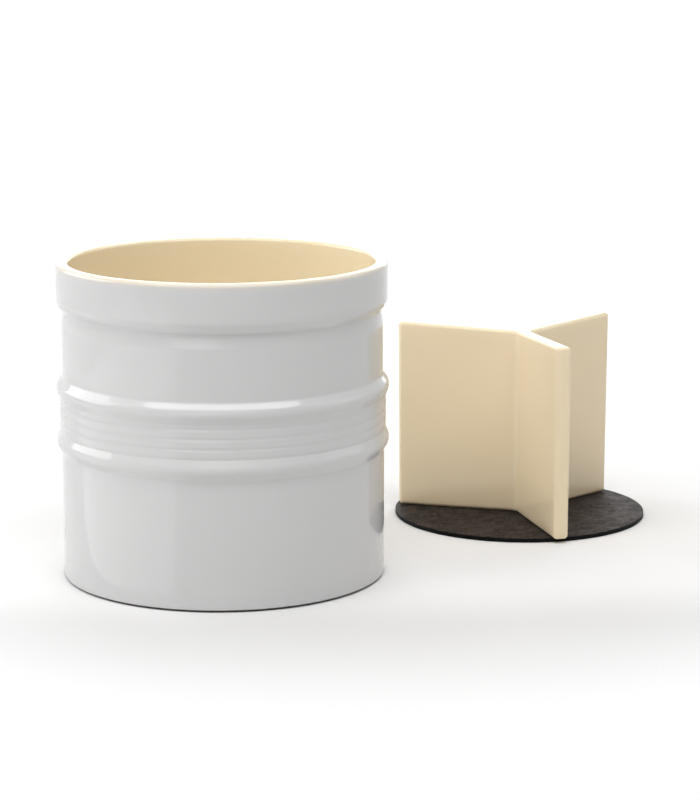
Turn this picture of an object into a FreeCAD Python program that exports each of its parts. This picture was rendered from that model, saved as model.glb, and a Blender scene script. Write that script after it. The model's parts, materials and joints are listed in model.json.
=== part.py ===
import FreeCAD, Part
import math
import os
from FreeCAD import Vector

# A utensil crock for a kitchen worktop, in three loose pieces: a glazed stoneware jar, a
# one-piece stoneware divider, and the round non-slip pad that the divider stands on.
# Here the divider and its pad stand beside the jar. In use the pad lies on the floor of
# the jar, and the divider stands on it and splits the jar into compartments.
# The jar stands on the plane z = 0 with its axis at x = 0, y = 0. Sizes are in millimetres.

# Outside of the jar, from the foot up. The body radius drives every other radius. The wall
# ends a foot gap above the worktop, and the lower wall's height is measured from the worktop.
body_radius = 82.2
foot_gap = 0.8
foot_rounding = 1.0
lower_wall_height = 63.6
bead_height = 12.6
bead_rise = 2.6
bead_crest_width = 3.0
band_rise = 0.8
rib_count = 3
rib_pitch = 5.0
groove_width = 2.4
groove_depth = 0.5
upper_wall_height = 26.2
upper_wall_inset = 0.8
neck_height = 7.4
neck_step = 1.0
neck_slope = 1.6
collar_height = 24.6
collar_rise = 1.3
collar_lead = 3.2
lip_crown = 0.5

# Roundings of the outside, where one form runs into the next.
bead_toe_rounding = 2.4
bead_crest_rounding = 5.0
rib_rounding = 1.6
groove_rounding = 0.7
neck_rounding = 1.6
collar_lower_rounding = 3.0
lip_outer_rounding = 2.4
lip_crown_rounding = 9.0

# Inside and underside of the jar.
lip_thickness = 6.4
lip_inner_rounding = 1.8
wall_thickness = 7.2
floor_thickness = 6.0
floor_rounding = 5.0
foot_ring_inset = 2.6
foot_ring_width = 4.4
foot_ring_depth = 1.8
foot_ring_draft = 0.8
foot_ring_rounding = 0.3
foot_inner_rounding = 0.8

# Non-slip pad. It covers the flat of the jar's floor.
pad_thickness = 2.5
pad_clearance = 0.5
pad_edge_rounding = 0.3

# Divider: flat wings round a hub, cast in one piece. Its tips lean out with the jar's wall,
# and its upper edge falls a little towards the hub.
wing_count = 3
wing_thickness = 8.2
divider_height = 104.6
divider_hub_dip = 2.6
divider_wall_clearance = 5.6
divider_tip_draft = 0.6
divider_edge_rounding = 2.1
hub_rounding = 3.5

# Where the loose pieces stand beside the jar. Bearings are in degrees from the x axis. The
# divider was put down by hand, so its axis is a little beside the pad's and in front of it.
parking_gap = 48.0
parking_bearing = 37.9
divider_shift = 0.4
divider_setback = 5.6
wing_bearing = 44.9

# Radii and heights that follow from the sizes above.
upper_wall_radius = body_radius - upper_wall_inset
neck_radius = upper_wall_radius - neck_step
band_radius = body_radius + band_rise
bead_radius = body_radius + bead_rise
collar_radius = body_radius + collar_rise
mouth_radius = collar_radius - lip_thickness
inner_floor_radius = body_radius - wall_thickness
foot_ring_radius = body_radius - foot_ring_inset
foot_ring_inner_radius = foot_ring_radius - foot_ring_width
pad_radius = inner_floor_radius - floor_rounding - pad_clearance
divider_tip_radius = inner_floor_radius - divider_wall_clearance
floor_height = foot_ring_depth + floor_thickness
band_base = lower_wall_height + bead_height
band_top = band_base + rib_count * rib_pitch
upper_wall_base = band_top + bead_height
neck_base = upper_wall_base + upper_wall_height
collar_base = neck_base + neck_height
jar_height = collar_base + collar_height


def direction(bearing):
    """Unit vector in the plane, at a bearing in degrees."""
    return Vector(math.cos(math.radians(bearing)), math.sin(math.radians(bearing)), 0)


def rounded_wire(corners):
    """Closed wire through (point, radius) corners, each rounded by a tangent arc.

    A rounding gives way where the sides of its corner have no room for it.
    """
    count = len(corners)
    points = [point for point, radius in corners]
    turns = []
    reaches = []
    for i, (point, radius) in enumerate(corners):
        turn = (point - points[i - 1]).getAngle(points[(i + 1) % count] - point)
        turns.append(turn)
        reaches.append(radius * math.tan(turn / 2))
    ends = []
    for i, point in enumerate(points):
        room = 1.0
        for j in (i - 1, (i + 1) % count):
            side = (points[j] - point).Length
            room = min(room, side / max(side, reaches[i] + reaches[j]))
        reach = reaches[i] * room
        start = point + (points[i - 1] - point).normalize() * reach
        finish = point + (points[(i + 1) % count] - point).normalize() * reach
        ends.append((start, finish, reach))
    edges = []
    for i, (start, finish, reach) in enumerate(ends):
        previous_finish = ends[i - 1][1]
        if not start.isEqual(previous_finish, 1e-6):
            edges.append(Part.LineSegment(previous_finish, start).toShape())
        if reach > 0:
            inward = ((start + finish) * 0.5 - points[i]).normalize()
            half_turn = turns[i] / 2
            radius = reach / math.tan(half_turn)
            middle = points[i] + inward * radius * (1 / math.cos(half_turn) - 1)
            edges.append(Part.Arc(start, middle, finish).toShape())
    return Part.Wire(edges)


def at(radius, height, rounding=0.0):
    """Corner of a profile that is turned about the z axis."""
    return Vector(radius, 0, height), rounding


def turned(corners):
    """Solid turned about the z axis from the corners of its half profile."""
    axis_point = Vector(0, 0, 0)
    return Part.Face(rounded_wire(corners)).revolve(axis_point, Vector(0, 0, 1), 360)


def foot_corners():
    """Underside: a shallow recess, the unglazed foot ring round it, and the wall's lower edge.

    The ring is set in from the wall, which ends just clear of the worktop.
    """
    return [
        at(0, foot_ring_depth),
        at(foot_ring_inner_radius - foot_ring_draft, foot_ring_depth, foot_inner_rounding),
        at(foot_ring_inner_radius, 0, foot_inner_rounding),
        at(foot_ring_radius, 0, foot_ring_rounding),
        at(foot_ring_radius, foot_gap, foot_ring_rounding),
        at(body_radius, foot_gap, foot_rounding),
    ]


def bead_corners(base):
    """Crest of a half-round bead that starts at the height base."""
    middle = base + bead_height / 2
    return [
        at(bead_radius, middle - bead_crest_width / 2, bead_crest_rounding),
        at(bead_radius, middle + bead_crest_width / 2, bead_crest_rounding),
    ]


def band_corners():
    """Combed band between the beads: low ribs with a groove on each side of each rib."""
    groove_radius = band_radius - groove_depth
    corners = [at(groove_radius, band_base, groove_rounding)]
    for rib in range(rib_count):
        base = band_base + rib * rib_pitch
        corners.append(at(band_radius, base + groove_width / 2, rib_rounding))
        corners.append(at(band_radius, base + rib_pitch - groove_width / 2, rib_rounding))
        corners.append(at(groove_radius, base + rib_pitch, groove_rounding))
    return corners


def collar_corners():
    """Cove of the neck, then the collar up to its outer edge."""
    return [
        at(upper_wall_radius, neck_base, neck_rounding),
        at(neck_radius, neck_base + neck_slope, neck_rounding),
        at(neck_radius, collar_base, neck_rounding),
        at(collar_radius, collar_base + collar_lead, collar_lower_rounding),
    ]


def lip_corners():
    """Crowned lip, from the outer edge over the crown to the inner edge."""
    return [
        at(collar_radius, jar_height - lip_crown, lip_outer_rounding),
        at((collar_radius + mouth_radius) / 2, jar_height, lip_crown_rounding),
        at(mouth_radius, jar_height - lip_crown, lip_inner_rounding),
    ]


def make_jar():
    """Jar body, turned in one go from the foot, up the outside, over the lip and down inside."""
    corners = foot_corners()
    corners.append(at(body_radius, lower_wall_height, bead_toe_rounding))
    corners += bead_corners(lower_wall_height)
    corners += band_corners()
    corners += bead_corners(band_top)
    corners.append(at(upper_wall_radius, upper_wall_base, bead_toe_rounding))
    corners += collar_corners()
    corners += lip_corners()
    corners.append(at(inner_floor_radius, floor_height, floor_rounding))
    corners.append(at(0, floor_height))
    return turned(corners)


def wing_plan():
    """Plan of the divider: a star of straight wings, with rounded folds where they meet.

    The wings run on past the tips, which the envelope trims.
    """
    half = wing_thickness / 2
    spacing = 360 / wing_count
    reach = divider_tip_radius + divider_tip_draft + wing_thickness
    fold_distance = half / math.sin(math.radians(spacing / 2))
    corners = []
    for wing in range(wing_count):
        bearing = wing_bearing + wing * spacing
        tip = direction(bearing) * reach
        side = direction(bearing + 90) * half
        corners.append((tip - side, 0.0))
        corners.append((tip + side, 0.0))
        corners.append((direction(bearing + spacing / 2) * fold_distance, hub_rounding))
    return rounded_wire(corners)


def divider_envelope():
    """Turned outline of the divider: its draft at the tips and its dip at the hub."""
    return turned([
        at(0, 0),
        at(divider_tip_radius, 0),
        at(divider_tip_radius + divider_tip_draft, divider_height),
        at(0, divider_height - divider_hub_dip),
    ])


def is_fold(edge):
    """True for the upright lines where a wing's face runs smoothly into a rounded fold."""
    first = edge.Vertexes[0].Point
    last = edge.Vertexes[-1].Point
    upright = math.hypot(first.x - last.x, first.y - last.y) < abs(first.z - last.z) / 2
    return upright and math.hypot(first.x, first.y) < divider_tip_radius / 2


def make_divider():
    """Divider on its own axis, standing on z = 0, with every outer edge rounded."""
    blank = Part.Face(wing_plan()).extrude(Vector(0, 0, divider_height))
    star = blank.common(divider_envelope()).Solids[0]
    edges = [edge for edge in star.Edges if not is_fold(edge)]
    return star.makeFillet(min(divider_edge_rounding, 0.45 * wing_thickness), edges)


def make_pad():
    """Non-slip pad, a plain disc with its cut edges just broken."""
    disc = Part.makeCylinder(pad_radius, pad_thickness)
    rims = [edge for edge in disc.Edges if len(edge.Vertexes) == 1]
    return disc.makeFillet(min(pad_edge_rounding, 0.45 * pad_thickness), rims)


def build():
    """All pieces where they stand, by name."""
    pad_place = direction(parking_bearing) * (bead_radius + parking_gap + pad_radius)
    divider_place = pad_place + Vector(divider_shift, -divider_setback, pad_thickness)
    return {
        "crock": make_jar(),
        "non_slip_pad": make_pad().translated(pad_place),
        "divider": make_divider().translated(divider_place),
    }


os.makedirs("parts", exist_ok=True)
for name, shape in build().items():
    shape.exportStep("parts/" + name + ".step")
    box = shape.BoundBox
    print(name, len(shape.Solids), "solid,", "valid" if shape.isValid() else "not valid,",
          "%.1f x %.1f x %.1f mm," % (box.XLength, box.YLength, box.ZLength),
          "%.1f cm3" % (shape.Volume / 1000))
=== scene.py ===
# %% [markdown]
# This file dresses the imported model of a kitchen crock. The object has three loose pieces: a
# glazed stoneware jar for spoons and spatulas, a three-winged divider that keeps them apart, and
# a thin rubber pad that the divider stands on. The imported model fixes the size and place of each
# piece, and nothing in it is moved. This file adds the looks: glazed surfaces with the slight
# unevenness of fired clay, the finishes, a studio floor, the lamps and the camera.

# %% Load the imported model
import json
import math

import bmesh
import bpy
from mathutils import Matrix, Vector, noise

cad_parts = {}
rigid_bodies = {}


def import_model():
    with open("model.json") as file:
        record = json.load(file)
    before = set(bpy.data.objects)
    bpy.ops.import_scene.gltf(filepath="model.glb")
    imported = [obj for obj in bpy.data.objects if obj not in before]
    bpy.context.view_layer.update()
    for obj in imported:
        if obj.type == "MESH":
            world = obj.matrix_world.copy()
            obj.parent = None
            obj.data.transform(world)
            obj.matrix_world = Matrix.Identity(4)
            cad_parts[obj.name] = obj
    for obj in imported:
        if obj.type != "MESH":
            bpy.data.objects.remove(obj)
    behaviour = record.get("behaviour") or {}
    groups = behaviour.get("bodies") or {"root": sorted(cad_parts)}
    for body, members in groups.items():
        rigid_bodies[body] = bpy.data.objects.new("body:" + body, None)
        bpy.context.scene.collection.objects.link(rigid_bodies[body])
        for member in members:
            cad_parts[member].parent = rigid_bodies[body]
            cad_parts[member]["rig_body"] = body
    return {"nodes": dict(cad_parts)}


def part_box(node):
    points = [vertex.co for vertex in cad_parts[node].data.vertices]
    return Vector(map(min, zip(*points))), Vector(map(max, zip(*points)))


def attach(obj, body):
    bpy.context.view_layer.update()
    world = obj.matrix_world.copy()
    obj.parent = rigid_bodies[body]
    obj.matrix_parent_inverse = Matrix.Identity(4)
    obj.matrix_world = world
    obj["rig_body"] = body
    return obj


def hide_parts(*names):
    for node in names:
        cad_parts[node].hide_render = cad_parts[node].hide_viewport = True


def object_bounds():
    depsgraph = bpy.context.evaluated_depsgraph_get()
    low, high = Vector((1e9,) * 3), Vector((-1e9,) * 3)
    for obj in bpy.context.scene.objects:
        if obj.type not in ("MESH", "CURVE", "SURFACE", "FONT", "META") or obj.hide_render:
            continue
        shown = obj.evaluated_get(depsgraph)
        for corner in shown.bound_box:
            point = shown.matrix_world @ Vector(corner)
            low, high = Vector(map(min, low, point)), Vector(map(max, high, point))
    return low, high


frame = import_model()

cad_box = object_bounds()
print("pieces in the packed model:", ", ".join(sorted(frame["nodes"])))

# %% [markdown]
# The camera comes before the pieces, because every later choice is judged through it. It is a
# long lens held a little above the jar's rim, which is how a product photographer keeps the sides
# of a jar almost upright. Its height, distance and tilt were worked out from the circles in the
# photograph: the foot, the rim and the pad are round, so how flat each one looks, and how wide,
# tells where the camera stood. A camera that is tilted and not shifted gave the best fit.

# %% Camera
camera_place = Vector((0.06465, -1.33285, 0.35687))
camera_tilt_degrees = 11.356
lens_mm = 119.96
sensor_mm = 36.0


def place_camera():
    """Camera at the photograph's viewpoint, looking along +Y and tilted down."""
    data = bpy.data.cameras.new("Camera")
    data.lens = lens_mm
    data.sensor_width = sensor_mm
    camera = bpy.data.objects.new("Camera", data)
    camera.location = camera_place
    camera.rotation_euler = (math.radians(90 - camera_tilt_degrees), 0, 0)
    bpy.context.scene.collection.objects.link(camera)
    bpy.context.scene.camera = camera
    return camera


camera = place_camera()
print("the camera stands", round(-camera.location.y, 3), "m in front of the jar's axis")

# %% [markdown]
# The jar is a turned form, so one half outline holds its whole shape. A potter cuts such an
# outline from sheet metal and turns the clay against it. The outline could be a Bezier curve, but
# a list of corners, each with the radius that rounds it, says more plainly what was measured: the
# walls, the two beads, the combed band between them, the neck and the collar. The sizes are in
# millimetres, as on a potter's drawing, and become metres when the surface is made. The beads,
# the grooves, the neck and the collar's lower edge were measured again after the model was
# packed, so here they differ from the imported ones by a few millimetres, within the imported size.

# %% Sizes of the jar
mm = 0.001
body_radius = 82.2
lower_wall_height = 65.4
bead_height = 10.6
bead_rise = 2.3
bead_crest_width = 3.0
rib_count = 3
rib_pitch = 5.0
rib_radius = body_radius + 0.8
groove_width = 2.4
groove_radius = rib_radius - 0.2
band_margin = 2.2
upper_wall_height = 26.2
upper_wall_radius = body_radius - 0.8
neck_height = 7.4
neck_radius = upper_wall_radius - 0.7
neck_slope = 5.0
collar_height = 24.6
collar_radius = body_radius + 1.6
collar_lead = 3.2
lip_crown = 0.5
lip_thickness = 6.4
mouth_radius = collar_radius - lip_thickness
inner_floor_radius = body_radius - 7.2
inner_floor_height = 7.8
foot_gap = 0.8
foot_ring_outside = body_radius - 2.6
foot_ring_inside = foot_ring_outside - 4.4
foot_ring_depth = 1.8
foot_ring_draft = 0.8
band_base = lower_wall_height + bead_height
ribs_top = band_base + rib_count * rib_pitch
band_top = ribs_top + band_margin
upper_wall_base = band_top + bead_height
neck_base = upper_wall_base + upper_wall_height
collar_base = neck_base + neck_height
jar_height = collar_base + collar_height
print("the jar is %.1f mm tall and %.1f mm wide" % (jar_height, 2 * (body_radius + bead_rise)))

# %% [markdown]
# Each corner below is a radius, a height and a rounding. The underside comes first, then the
# outside from the foot up, the lip, and the inside back down to the middle of the floor. The
# beads and the combed grooves repeat, so small functions make them.

# %% Corners of the jar's half outline
foot_inner_rounding = 0.8
foot_ring_rounding = 0.3
foot_rounding = 1.0
bead_toe_rounding = 2.4
bead_crest_rounding = 5.0
rib_rounding = 1.6
groove_rounding = 0.7
neck_rounding = 1.6
collar_lower_rounding = 6.5
lip_outer_rounding = 2.4
lip_crown_rounding = 9.0
lip_inner_rounding = 1.8
floor_rounding = 5.0


def bead_corners(base):
    """Crest of a half-round bead that starts at the height base."""
    middle = base + bead_height / 2
    edges = (middle - bead_crest_width / 2, middle + bead_crest_width / 2)
    return [(body_radius + bead_rise, height, bead_crest_rounding) for height in edges]


def band_corners():
    """Low ribs with a groove on each side of each rib, and a plain strip above them."""
    corners = [(groove_radius, band_base, groove_rounding)]
    for rib in range(rib_count):
        base = band_base + rib * rib_pitch
        corners.append((rib_radius, base + groove_width / 2, rib_rounding))
        corners.append((rib_radius, base + rib_pitch - groove_width / 2, rib_rounding))
        corners.append((groove_radius, base + rib_pitch, groove_rounding))
    corners.append((rib_radius, ribs_top + groove_width / 2, rib_rounding))
    corners.append((rib_radius, band_top, bead_toe_rounding))
    return corners


def jar_corners():
    """All corners, from the middle of the underside to the middle of the inner floor."""
    return [
        (0.0, foot_ring_depth, 0.0),
        (foot_ring_inside - foot_ring_draft, foot_ring_depth, foot_inner_rounding),
        (foot_ring_inside, 0.0, foot_inner_rounding),
        (foot_ring_outside, 0.0, foot_ring_rounding),
        (foot_ring_outside, foot_gap, foot_ring_rounding),
        (body_radius, foot_gap, foot_rounding),
        (body_radius, lower_wall_height, bead_toe_rounding),
        *bead_corners(lower_wall_height),
        *band_corners(),
        *bead_corners(band_top),
        (upper_wall_radius, upper_wall_base, bead_toe_rounding),
        (upper_wall_radius, neck_base, neck_rounding),
        (neck_radius, neck_base + neck_slope, neck_rounding),
        (neck_radius, collar_base, neck_rounding),
        (collar_radius, collar_base + collar_lead, collar_lower_rounding),
        (collar_radius, jar_height - lip_crown, lip_outer_rounding),
        ((collar_radius + mouth_radius) / 2, jar_height, lip_crown_rounding),
        (mouth_radius, jar_height - lip_crown, lip_inner_rounding),
        (inner_floor_radius, inner_floor_height, floor_rounding),
        (0.0, inner_floor_height, 0.0),
    ]


print("the jar's outline has", len(jar_corners()), "corners")

# %% [markdown]
# A corner is rounded by an arc that touches both of its sides, and starts and ends at radius
# times tan(half the turn) from the corner. Where two roundings would overlap on a short side,
# both give way. Straight stretches are divided too, so that a surface can be uneven along them.
# The same function rounds the jar, the pad and, seen from above, the divider.

# %% Rounding an outline
arc_step = math.radians(9)
same_point = 1e-4


def arc_points(before, corner, after, reach):
    """Points of the arc that touches both sides of a corner at the distance reach from it."""
    start = corner + (before - corner).normalized() * reach
    finish = corner + (after - corner).normalized() * reach
    turn = (corner - before).angle(after - corner)
    radius = reach / math.tan(turn / 2)
    inward = ((start + finish) / 2 - corner).normalized()
    centre = corner + inward * radius / math.cos(turn / 2)
    steps = 2 * math.ceil(turn / arc_step / 2)
    points = []
    for step in range(steps + 1):
        share = step / steps
        first = (start - centre) * math.sin((1 - share) * turn)
        last = (finish - centre) * math.sin(share * turn)
        points.append(centre + (first + last) / math.sin(turn))
    return points


def rounded_line(corners, longest, closed=False):
    """Points along (x, y, rounding) corners, with no step longer than longest."""
    count = len(corners)
    spots = [Vector(corner[:2]) for corner in corners]
    sides = [(spots[(i + 1) % count] - spots[i]) for i in range(count)]
    inner = range(count) if closed else range(1, count - 1)
    reaches = [0.0] * count
    for i in inner:
        reaches[i] = corners[i][2] * math.tan(sides[i - 1].angle(sides[i]) / 2)
    points = []
    for i, spot in enumerate(spots):
        if reaches[i] == 0:
            points.append(spot)
            continue
        after = (i + 1) % count
        length_before, length_after = sides[i - 1].length, sides[i].length
        room = min(
            length_before / max(length_before, reaches[i - 1] + reaches[i]),
            length_after / max(length_after, reaches[i] + reaches[after]),
        )
        points += arc_points(spots[i - 1], spot, spots[after], reaches[i] * room)
    if closed:
        points.append(points[0])
    line = points[:1]
    for point in points[1:]:
        gap = (point - line[-1]).length
        if gap > same_point:
            start, pieces = line[-1], math.ceil(gap / longest)
            line += [start.lerp(point, (piece + 1) / pieces) for piece in range(pieces)]
    return line[:-1] if closed else line


def outward_normals(line, closed=False):
    """Unit vector at each point of a line that looks away from the clay, on its right side."""
    normals = []
    for i, point in enumerate(line):
        before = line[i - 1] if closed or i > 0 else point * 2 - line[1]
        after = line[(i + 1) % len(line)] if closed or i < len(line) - 1 else point * 2 - line[-2]
        heading = (point - before).normalized() + (after - point).normalized()
        normals.append(Vector((heading.y, -heading.x)).normalized())
    return normals


jar_line = rounded_line(jar_corners(), longest=4.0)
print("the jar's outline is rounded into", len(jar_line), "points")

# %% [markdown]
# A finish is a node tree round one Principled shader. A few helpers keep the trees short to read:
# one makes a node and fills its inputs, one steps smoothly from one value to another, one mixes
# two colours, and one gives a noise in the piece's own space, so that a pattern stays put when
# the piece moves. They come before the pieces, because each piece is made with its finish on.

# %% Helpers for finishes


def wire(tree, value, socket):
    """Links another node's output to a socket, or puts a number or colour on it."""
    if isinstance(value, bpy.types.NodeSocket):
        tree.links.new(value, socket)
    else:
        socket.default_value = value


def calculated(tree, operation, *values):
    """Output of a Math node."""
    node = tree.nodes.new("ShaderNodeMath")
    node.operation = operation
    for value, socket in zip(values, node.inputs):
        wire(tree, value, socket)
    return node.outputs["Value"]


def stepped(tree, value, low, high, start=0.0, end=1.0):
    """Smooth step from start to end while value goes from low to high."""
    node = tree.nodes.new("ShaderNodeMapRange")
    node.interpolation_type = "SMOOTHSTEP"
    names = ("Value", "From Min", "From Max", "To Min", "To Max")
    for name, item in zip(names, (value, low, high, start, end)):
        wire(tree, item, node.inputs[name])
    return node.outputs["Result"]


def mixed(tree, share, first, second):
    """Colour that goes from first to second while share goes from 0 to 1."""
    node = tree.nodes.new("ShaderNodeMixRGB")
    for value, socket in zip((share, first, second), node.inputs):
        wire(tree, value, socket)
    return node.outputs["Color"]


def noise_value(tree, place, scale, detail=2.0, roughness=0.5):
    """Noise from 0 to 1, with patches of about one over scale metres."""
    node = tree.nodes.new("ShaderNodeTexNoise")
    names = ("Vector", "Scale", "Detail", "Roughness")
    for name, item in zip(names, (place, scale, detail, roughness)):
        wire(tree, item, node.inputs[name])
    return node.outputs["Fac"]


def own_space(tree):
    """Place on the surface, in the piece's own space."""
    return tree.nodes.new("ShaderNodeTexCoord").outputs["Object"]


def bumped(tree, height, distance):
    """Normal for a relief of the given height in metres."""
    node = tree.nodes.new("ShaderNodeBump")
    node.inputs["Distance"].default_value = distance
    wire(tree, height, node.inputs["Height"])
    return node.outputs["Normal"]


def new_finish(name):
    """Material with one Principled shader, its node tree and the shader's inputs."""
    material = bpy.data.materials.new(name)
    material.use_nodes = True
    tree = material.node_tree
    return material, tree, tree.nodes["Principled BSDF"].inputs


# %% [markdown]
# The jar is dipped and poured: white glaze outside, cream glaze inside, and bare clay on the foot
# ring, which is wiped clean so that it doesn't stick to the kiln shelf. The cream glaze runs over
# the lip and thins out on its first millimetres outside. Inside the mouth the cream is painted
# lighter than the same glaze on the lip: painted light for the inside of the jar. Just outside the
# foot ring, up to the foot line, the bare clay is painted near black: a painted shade for the gap
# under the wall's edge. Three materials on three sets of faces would meet in hard lines. One
# material that reads its own radius and height lets the glazes run into each other softly and a
# little unevenly, as they do when both melt. A glaze is glassy, so it is smooth, with a very fine
# orange-peel relief.

# %% Finish of the jar
white_glaze_colour = (0.605, 0.605, 0.605, 1)
thin_white_colour = (0.635, 0.63, 0.625, 1)
cream_glaze_colour = (0.87, 0.73, 0.50, 1)
deep_cream_colour = (0.85, 0.70, 0.46, 1)
# The cream inside the mouth is painted lighter than the same glaze on the lip: painted light for
# the inside.
inner_cream_painted_light_colour = (0.90, 0.785, 0.565, 1)
bare_clay_colour = (0.55, 0.46, 0.36, 1)
# Near-black painted shade for the gap under the wall's edge round the foot ring.
painted_gap_shade_colour = (0.03, 0.022, 0.018, 1)
dark_grog_colour = (0.32, 0.24, 0.17, 1)
glaze_roughness = 0.08
roughness_spread = 0.02
bare_clay_roughness = 0.85
cream_fades_from = 3.0 * mm
cream_ends_at = 11.5 * mm
foot_line_height = 1.15 * mm


def glaze_sheen(tree, place):
    """Roughness of a glaze, a little duller in smeared patches."""
    smear = noise_value(tree, place, 90, detail=3)
    return stepped(
        tree, smear, 0.3, 0.7,
        glaze_roughness - roughness_spread, glaze_roughness + roughness_spread)


def jar_finish():
    """White glaze outside, cream glaze inside and bare clay on the foot ring."""
    material, tree, shader = new_finish("jar_glazes")
    place = own_space(tree)
    parts = tree.nodes.new("ShaderNodeSeparateXYZ")
    wire(tree, place, parts.inputs["Vector"])
    across, along, height = parts.outputs
    radius = calculated(tree, "SQRT", calculated(
        tree, "ADD", calculated(tree, "MULTIPLY", across, across),
        calculated(tree, "MULTIPLY", along, along)))
    waver = noise_value(tree, place, 60, detail=3)
    over_lip = calculated(
        tree, "ADD", calculated(tree, "SUBTRACT", radius, mouth_radius * mm),
        calculated(tree, "SUBTRACT", jar_height * mm, height))
    way = calculated(tree, "ADD", over_lip, calculated(tree, "MULTIPLY", waver, 1.2 * mm))
    outer_side = stepped(tree, radius, mouth_radius * mm, (mouth_radius + 1) * mm)
    outside = calculated(
        tree, "MULTIPLY", outer_side, stepped(tree, way, cream_fades_from, cream_ends_at))
    low = stepped(tree, height, 5 * mm, 6 * mm, 1.0, 0.0)
    white = calculated(tree, "MAXIMUM", outside, low)
    pooling = noise_value(tree, place, 22, detail=2)
    white_colour = mixed(tree, pooling, white_glaze_colour, thin_white_colour)
    lip_cream = mixed(tree, pooling, cream_glaze_colour, deep_cream_colour)
    # Painted light: inside the mouth the cream glaze gets a lighter copy of its colour than on the
    # lip.
    cream_colour = mixed(tree, outer_side, inner_cream_painted_light_colour, lip_cream)
    glaze_colour = mixed(tree, white, cream_colour, white_colour)
    foot_height = calculated(tree, "ADD", height, calculated(tree, "MULTIPLY", waver, 0.3 * mm))
    bare = stepped(tree, foot_height, foot_line_height, foot_line_height + 0.2 * mm, 1.0, 0.0)
    grog = stepped(tree, noise_value(tree, place, 1400, detail=1), 0.62, 0.75)
    clay_colour = mixed(tree, grog, bare_clay_colour, dark_grog_colour)
    # Painted shade: outside the foot ring and below the foot line the clay is painted near black,
    # standing in for the dark gap under the wall.
    painted_gap_shade_share = stepped(tree, radius, (foot_ring_outside - 0.3) * mm, foot_ring_outside * mm)
    clay_colour = mixed(tree, painted_gap_shade_share, clay_colour, painted_gap_shade_colour)
    wire(tree, mixed(tree, bare, glaze_colour, clay_colour), shader["Base Color"])
    sheen = glaze_sheen(tree, place)
    wire(tree, stepped(tree, bare, 0.0, 1.0, sheen, bare_clay_roughness), shader["Roughness"])
    peel = noise_value(tree, place, 260, detail=1)
    grain = calculated(tree, "MULTIPLY", noise_value(tree, place, 2500, detail=2), bare)
    relief = calculated(tree, "ADD", calculated(tree, "MULTIPLY", peel, 0.1), grain)
    wire(tree, bumped(tree, relief, 0.08 * mm), shader["Normal"])
    shader["IOR"].default_value = 1.5
    return material


jar_glazes = jar_finish()
print("the jar's finish has", len(jar_glazes.node_tree.nodes), "nodes")

# %% [markdown]
# Spinning the outline round the axis makes the surface. A Screw modifier would do it too. Here
# the rings are made in code, so that each point can be moved a little on the way: glaze pools and
# thins, and a fired wall is never a perfect cylinder. The unevenness is a slow noise of a few
# hundredths of a millimetre, and it only goes inwards, so the jar stays within its true size.

# %% Spinning an outline
jar_columns = 192
jar_unevenness = 0.06
jar_wavelength = 45.0


def sunk(spot, depth, wavelength):
    """How far the surface lies below its ideal place at a spot, from nothing to depth."""
    return depth * (0.5 + 0.5 * noise.noise(spot / wavelength))


def finished_piece(name, shape, material):
    """Object for a bmesh in millimetres, with its faces turned outwards, smooth and finished."""
    bmesh.ops.remove_doubles(shape, verts=shape.verts, dist=same_point)
    bmesh.ops.recalc_face_normals(shape, faces=shape.faces)
    bmesh.ops.scale(shape, vec=(mm, mm, mm), verts=shape.verts)
    mesh = bpy.data.meshes.new(name)
    shape.to_mesh(mesh)
    shape.free()
    mesh.shade_smooth()
    mesh.materials.append(material)
    piece = bpy.data.objects.new(name, mesh)
    bpy.context.scene.collection.objects.link(piece)
    print(name, "has", len(mesh.polygons), "faces")
    return piece


def spun(name, line, columns, depth, wavelength, material):
    """Piece turned about its z axis from an outline, with a slightly uneven surface."""
    shape = bmesh.new()
    rings = []
    for point, normal in zip(line, outward_normals(line)):
        ring = []
        for column in range(columns):
            angle = math.tau * column / columns
            out = Vector((math.cos(angle), math.sin(angle), 0))
            spot = out * point.x + Vector((0, 0, point.y))
            away = out * normal.x + Vector((0, 0, normal.y))
            ring.append(shape.verts.new(spot - away * sunk(spot, depth, wavelength)))
        rings.append(ring)
    for lower, upper in zip(rings, rings[1:]):
        for column in range(columns):
            after = (column + 1) % columns
            shape.faces.new([lower[column], lower[after], upper[after], upper[column]])
    return finished_piece(name, shape, material)


def seated(piece, node):
    """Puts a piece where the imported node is, makes it ride there and stand for the node."""
    low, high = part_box(node)
    corners = [Vector(corner) for corner in piece.bound_box]
    middle = sum(corners, Vector()) / len(corners)
    piece.location = ((low.x + high.x) / 2 - middle.x, (low.y + high.y) / 2 - middle.y, low.z)
    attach(piece, frame["nodes"][node]["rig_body"])
    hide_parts(node)
    print(node, "stands at %.1f, %.1f mm" % (piece.location.x / mm, piece.location.y / mm))


jar = spun("jar", jar_line, jar_columns, jar_unevenness, jar_wavelength, jar_glazes)
seated(jar, "crock")

# %% [markdown]
# The divider is slip-cast in one piece: three flat wings that meet at a hub. Seen from above it
# is a star, so it is built as a stack of outlines of that star, from its foot to its top. The
# lowest and highest outlines are drawn in along a quarter circle, which rounds the edges the way
# glaze softens them. A Bevel modifier on an extruded star would round them too, but it leaves
# one many-sided face on top, and that face can't follow the dip towards the hub.

# %% Sizes of the divider
wing_count = 3
wing_thickness = 8.2
wing_bearing = math.radians(44.9)
divider_height = 104.6
divider_hub_dip = 2.6
divider_tip_draft = 0.6
divider_tip_radius = inner_floor_radius - 5.6
edge_rounding = 2.1
tip_corner_rounding = 2.3
hub_rounding = 3.5
divider_step = 4.0
divider_unevenness = 0.07
divider_wavelength = 32.0
wing_directions = [
    Vector((math.cos(angle), math.sin(angle)))
    for angle in (wing_bearing + math.tau * wing / wing_count for wing in range(wing_count))
]
print("the divider's wings are %.1f mm long" % divider_tip_radius)

# %% Outline of the divider from above


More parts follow.
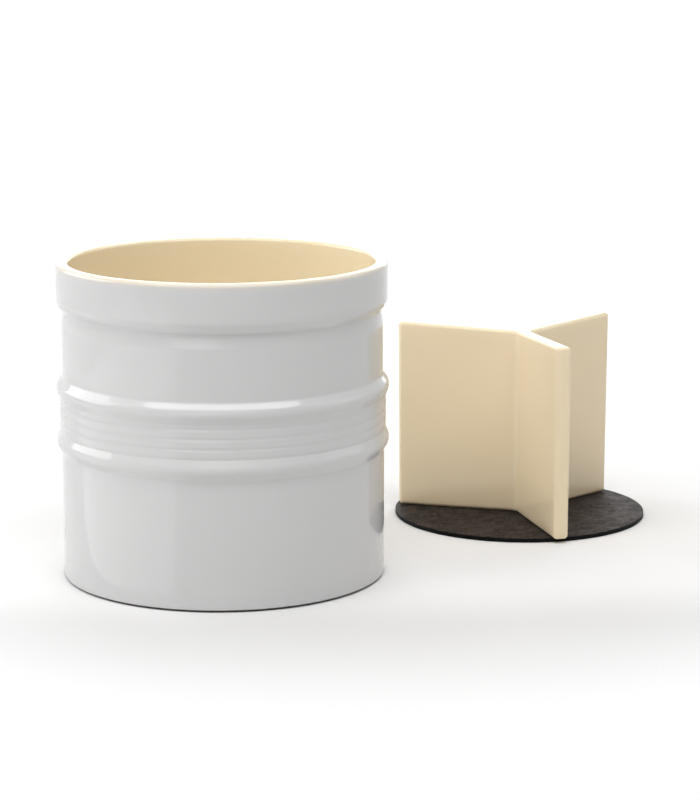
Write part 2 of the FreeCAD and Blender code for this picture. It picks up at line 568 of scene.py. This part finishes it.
def star_corners():
    """Corners of the star, in order round it: two at each tip and one at each fold."""
    half = wing_thickness / 2
    fold_distance = half / math.sin(math.pi / wing_count)
    corners = []
    for wing, out in enumerate(wing_directions):
        side = Vector((-out.y, out.x)) * half
        fold = (out + wing_directions[(wing + 1) % wing_count]).normalized() * fold_distance
        corners.append((*(out * divider_tip_radius - side), tip_corner_rounding))
        corners.append((*(out * divider_tip_radius + side), tip_corner_rounding))
        corners.append((*fold, hub_rounding))
    return corners


star_line = rounded_line(star_corners(), longest=divider_step, closed=True)
star_normals = outward_normals(star_line, closed=True)
print("the star's outline has", len(star_line), "points")

# %% [markdown]
# The stack is then closed below and above. Each point of the last outline is joined to the spine
# of its wing, the line from the hub to the tip, so the top is made of neat four-sided faces that
# slope down to the hub together. Points round a tip share the spine's last point.

# %% Building the divider


def stack_levels():
    """Height of each stacked outline, and how far it is drawn in."""
    angles = [math.radians(15 * step) for step in range(7)]
    drawn_in = [edge_rounding * (1 - math.sin(angle)) for angle in angles]
    heights = [edge_rounding * (1 - math.cos(angle)) for angle in angles]
    wall = divider_height - 2 * edge_rounding
    steps = math.ceil(wall / divider_step)
    walls = [(edge_rounding + wall * step / steps, 0.0) for step in range(1, steps)]
    foot = list(zip(heights, drawn_in))
    head = [(divider_height - height, inset) for height, inset in reversed(foot)]
    return foot + walls + head


def in_clay(flat, height):
    """Point of the divider: its tips lean out and its top dips to the hub."""
    rise = height / divider_height
    lean = 1 + divider_tip_draft / divider_tip_radius * rise
    dip = divider_hub_dip * max(0.0, 1 - flat.length / divider_tip_radius) * rise
    return Vector((flat.x * lean, flat.y * lean, height - dip))


def spine_point(flat):
    """Point of the nearest wing's spine that a point of the outline is joined to."""
    out = max(wing_directions, key=flat.dot)
    along = flat.dot(out)
    fold_turn = math.pi - math.tau / wing_count
    fold_start = wing_thickness / 2 * math.tan(fold_turn / 2)
    fold_end = fold_start + hub_rounding * math.tan(fold_turn / 2)
    crown = hub_rounding * (1 / math.cos(fold_turn / 2) - 1) * math.sin(fold_turn / 2)
    nearest = fold_start + crown
    if along < fold_end:
        return out * max(0.0, (along - nearest) / (fold_end - nearest)) * fold_end
    return out * min(along, divider_tip_radius - wing_thickness / 2)


def closed_end(shape, outline, height):
    """Faces between the last outline of the stack and the spines of the wings."""
    spine = [spine_point(flat) for flat in star_line]
    verts = [shape.verts.new(in_clay(flat, height)) for flat in spine]
    for i in range(len(outline)):
        after = (i + 1) % len(outline)
        face = [outline[i], outline[after], verts[after]]
        if (spine[after] - spine[i]).length > same_point:
            face.append(verts[i])
        shape.faces.new(face)


def cast_divider():
    """Divider on its own axis, from the stacked outlines of the star."""
    shape = bmesh.new()
    stack = []
    for height, inset in stack_levels():
        ring = []
        for flat, normal in zip(star_line, star_normals):
            spot = in_clay(flat - normal * inset, height)
            depth = sunk(spot, divider_unevenness, divider_wavelength)
            ring.append(shape.verts.new(spot - normal.to_3d() * depth))
        stack.append(ring)
    for lower, upper in zip(stack, stack[1:]):
        for i in range(len(lower)):
            after = (i + 1) % len(lower)
            shape.faces.new([lower[i], lower[after], upper[after], upper[i]])
    closed_end(shape, stack[0], 0.0)
    closed_end(shape, stack[-1], divider_height)
    return shape


print("the divider is stacked from", len(stack_levels()), "outlines")

# %% [markdown]
# The divider is glazed with the same cream all over, a little deeper in patches. The glaze is as
# glassy as the jar's, with the same very fine orange-peel relief.

# %% Finish of the divider
wing_cream_colour = (0.91, 0.76, 0.53, 1)
deep_wing_cream_colour = (0.89, 0.735, 0.495, 1)


def cream_finish():
    """Glossy cream glaze all over, a little deeper in patches."""
    material, tree, shader = new_finish("divider_glaze")
    place = own_space(tree)
    pooling = noise_value(tree, place, 22, detail=2)
    colour = mixed(tree, pooling, wing_cream_colour, deep_wing_cream_colour)
    wire(tree, colour, shader["Base Color"])
    wire(tree, glaze_sheen(tree, place), shader["Roughness"])
    peel = noise_value(tree, place, 260, detail=1)
    wire(tree, bumped(tree, peel, 0.008 * mm), shader["Normal"])
    shader["IOR"].default_value = 1.5
    return material


divider = finished_piece("wing_divider", cast_divider(), cream_finish())
seated(divider, "divider")

# %% [markdown]
# The pad is punched from a sheet of moulded rubber crumb. Its face is charcoal with a brownish
# cloudiness and a few light flecks, and it shines faintly only when seen at a low angle. The cut
# edge is painted nearly black, darker than the same rubber on the face: a painted shade on its
# upright side. It is spun like the jar, from a much simpler outline.

# %% The non-slip pad
pad_radius = inner_floor_radius - 5.5
pad_thickness = 2.5
pad_edge_rounding = 0.3
pad_columns = 160
pad_unevenness = 0.12
pad_wavelength = 9.0
pad_dark_colour = (0.012, 0.009, 0.008, 1)
pad_light_colour = (0.040, 0.031, 0.027, 1)
pad_fleck_colour = (0.17, 0.15, 0.14, 1)
# Near-black painted shade for the pad's upright cut edge.
pad_edge_painted_shade_colour = (0.003, 0.003, 0.003, 1)


def rubber_finish():
    """Cloudy charcoal rubber with light flecks, and a blacker cut edge."""
    material, tree, shader = new_finish("pad_rubber_crumb")
    place = own_space(tree)
    parts = tree.nodes.new("ShaderNodeSeparateXYZ")
    wire(tree, place, parts.inputs["Vector"])
    cloud = stepped(tree, noise_value(tree, place, 150, detail=6, roughness=0.75), 0.32, 0.70)
    colour = mixed(tree, cloud, pad_dark_colour, pad_light_colour)
    speck = noise_value(tree, place, 700, detail=2, roughness=0.6)
    fleck = stepped(tree, speck, 0.60, 0.70)
    colour = mixed(tree, calculated(tree, "MULTIPLY", fleck, 0.6), colour, pad_fleck_colour)
    # Painted shade: below the top face the cut edge gets the near-black colour.
    top = stepped(tree, parts.outputs["Z"], (pad_thickness - 0.5) * mm, (pad_thickness - 0.2) * mm)
    wire(tree, mixed(tree, top, pad_edge_painted_shade_colour, colour), shader["Base Color"])
    wire(tree, stepped(tree, cloud, 0.0, 1.0, 0.62, 0.5), shader["Roughness"])
    shader["Specular IOR Level"].default_value = 0.08
    crumb = noise_value(tree, place, 1100, detail=3, roughness=0.6)
    wire(tree, bumped(tree, crumb, 0.12 * mm), shader["Normal"])
    return material


pad_corners = [
    (0.0, 0.0, 0.0),
    (pad_radius, 0.0, pad_edge_rounding),
    (pad_radius, pad_thickness, pad_edge_rounding),
    (0.0, pad_thickness, 0.0),
]
pad_line = rounded_line(pad_corners, longest=2.5)
pad = spun("rubber_pad", pad_line, pad_columns, pad_unevenness, pad_wavelength, rubber_finish())
seated(pad, "non_slip_pad")

# %% [markdown]
# The stage is one wide pale floor that the camera sees up to the top of the picture. Near the
# object it is pale paper that takes the object's shadow. Further out it turns into plain white
# for the camera and for reflections, wherever they look at it, so the background is white
# without any more light on the object. The change follows the distance from the object's middle,
# and the light that the paper throws back on the object stays that of paper. In front of the
# object the paper is painted darker, as in the photograph, and again only to the camera and in
# reflections: a painted shadow of the object.

# %% Floor
floor_colour = (0.86, 0.86, 0.86, 1)
seen_floor_colour = (0.88, 0.875, 0.87, 1)
# Painted shadow: the paper in front of the object is painted darker, for the camera and reflections
# only.
painted_front_shadow_colour = (0.71, 0.705, 0.70, 1)
front_shadow_from = -0.02
front_shadow_to = -0.11
no_colour = (0, 0, 0, 1)
full_white = (1, 1, 1, 1)
paper_reach = 0.16
white_from = 0.33
floor_half_width = 30.0
stage_middle = ((cad_box[0][0] + cad_box[1][0]) / 2, (cad_box[0][1] + cad_box[1][1]) / 2, 0)


def looked_at(tree):
    """1 for the camera's own rays and for those of reflections and clear things, else 0."""
    path = tree.nodes.new("ShaderNodeLightPath").outputs
    direct = calculated(tree, "MAXIMUM", path["Is Camera Ray"], path["Is Glossy Ray"])
    return calculated(tree, "MAXIMUM", direct, path["Is Transmission Ray"])


def pale_floor():
    """Large floor under the object, paper near it and plain white to the eye further out."""
    shape = bmesh.new()
    bmesh.ops.create_grid(shape, x_segments=2, y_segments=2, size=floor_half_width / mm)
    material, tree, shader = new_finish("floor_paper")
    shader["Roughness"].default_value = 0.9
    shader["Specular IOR Level"].default_value = 0.1
    shader["Emission Color"].default_value = full_white
    away = tree.nodes.new("ShaderNodeVectorMath")
    away.operation = "DISTANCE"
    wire(tree, own_space(tree), away.inputs[0])
    away.inputs[1].default_value = stage_middle
    seen = looked_at(tree)
    open_floor = stepped(tree, away.outputs["Value"], paper_reach, white_from)
    white = calculated(tree, "MULTIPLY", seen, open_floor)
    parts = tree.nodes.new("ShaderNodeSeparateXYZ")
    wire(tree, own_space(tree), parts.inputs["Vector"])
    # Painted shadow: the paper darkens towards the front of the object where it is looked at.
    front_shadow_share = stepped(tree, parts.outputs["Y"], front_shadow_to, front_shadow_from, 1.0, 0.0)
    seen_paper = mixed(tree, front_shadow_share, seen_floor_colour, painted_front_shadow_colour)
    paper = mixed(tree, seen, floor_colour, seen_paper)
    wire(tree, mixed(tree, white, paper, no_colour), shader["Base Color"])
    wire(tree, white, shader["Emission Strength"])
    floor = finished_piece("floor", shape, material)
    return floor


floor = pale_floor()

# %% [markdown]
# Eight softboxes light the object, as in a small product studio. Two hang overhead, one in front
# and one behind, so level surfaces such as the lip are the brightest. One stands on the left and
# a little behind, and a weak one on the right, for the sides of the jar. Two reach the corner
# between the divider's wings, which the jar shades: a high one at the left front shines over the
# rim, and a low one in front shines past the wall. The high one isn't mirrored in the glaze, where
# it would leave a hard bright patch. Two more fill the shadows, in front and behind. Each is
# placed, aimed and sized as a real softbox is, and its glow says how bright it looks: 1 is as
# bright as white. Last comes a card that lies on the floor at the left front. Seen from above, an
# upright glazed wall mirrors the floor, so this card, and no lamp, makes the soft bright panel
# with a straight edge on the jar's left half. It is left out of the diffuse light, as only its
# mirror image is wanted. The room's own light is the world's colour: nearly none for the light
# that it casts, and white where the camera or a reflection looks straight at it.

# %% Lamps and room
aim = Vector((0.05, 0.03, 0.08))
room_light = 0.06


def softbox(name, place, size, glow, target=aim, mirrored=True):
    """Rectangular lamp that faces its target and glows evenly, seen in the glaze if mirrored."""
    data = bpy.data.lights.new(name, "AREA")
    data.shape = "RECTANGLE"
    data.size, data.size_y = size
    data.energy = glow * math.pi * size[0] * size[1]
    lamp = bpy.data.objects.new(name, data)
    lamp.location = place
    lamp.rotation_euler = (target - Vector(place)).to_track_quat("-Z", "Y").to_euler()
    lamp.visible_camera = False
    lamp.visible_glossy = mirrored
    bpy.context.scene.collection.objects.link(lamp)
    return lamp


def room():
    """World that lights dimly, and is white to the camera and in reflections."""
    world = bpy.data.worlds.new("room")
    world.use_nodes = True
    tree = world.node_tree
    background = tree.nodes["Background"].inputs
    strength = stepped(tree, looked_at(tree), 0.0, 1.0, room_light, 1.0)
    wire(tree, strength, background["Strength"])
    background["Color"].default_value = full_white
    bpy.context.scene.world = world


def reflected_card(name, place, size, bearing_degrees, glow):
    """Card that lies face up on the floor. It is seen only in the glaze, and lights nothing."""
    card = softbox(name, place, size, glow)
    card.rotation_euler = (math.pi, 0, math.radians(bearing_degrees))
    card.visible_diffuse = False
    return card


softboxes = [
    softbox("front_overhead", (0.0, -0.5, 1.15), (1.7, 0.6), 4.2, Vector((0, -0.5, 0))),
    softbox("back_overhead", (0.3, 0.7, 1.15), (1.3, 0.6), 2.7, Vector((0.3, 0.7, 0))),
    softbox("left_side", (-1.2, 0.40, 0.62), (1.3, 0.8), 2.7),
    softbox("left_front", (-0.9, -0.45, 0.75), (0.6, 0.6), 1.8, mirrored=False),
    softbox("right_side", (1.2, 0.1, 0.50), (0.8, 0.6), 0.9),
    softbox("front_low", (-0.40, -1.40, 0.22), (0.9, 0.4), 1.0),
    softbox("front_fill", (0.05, -1.9, 1.3), (1.2, 0.8), 0.7),
    softbox("back_fill", (0.05, 1.6, 0.6), (1.6, 0.9), 1.2),
    reflected_card("left_card", (-0.494, -0.277, 0.004), (0.6, 0.8), -31.4, 0.8),
]
room()
bpy.context.scene.view_settings.view_transform = "Standard"
print("lamps:", ", ".join(lamp.name for lamp in softboxes))
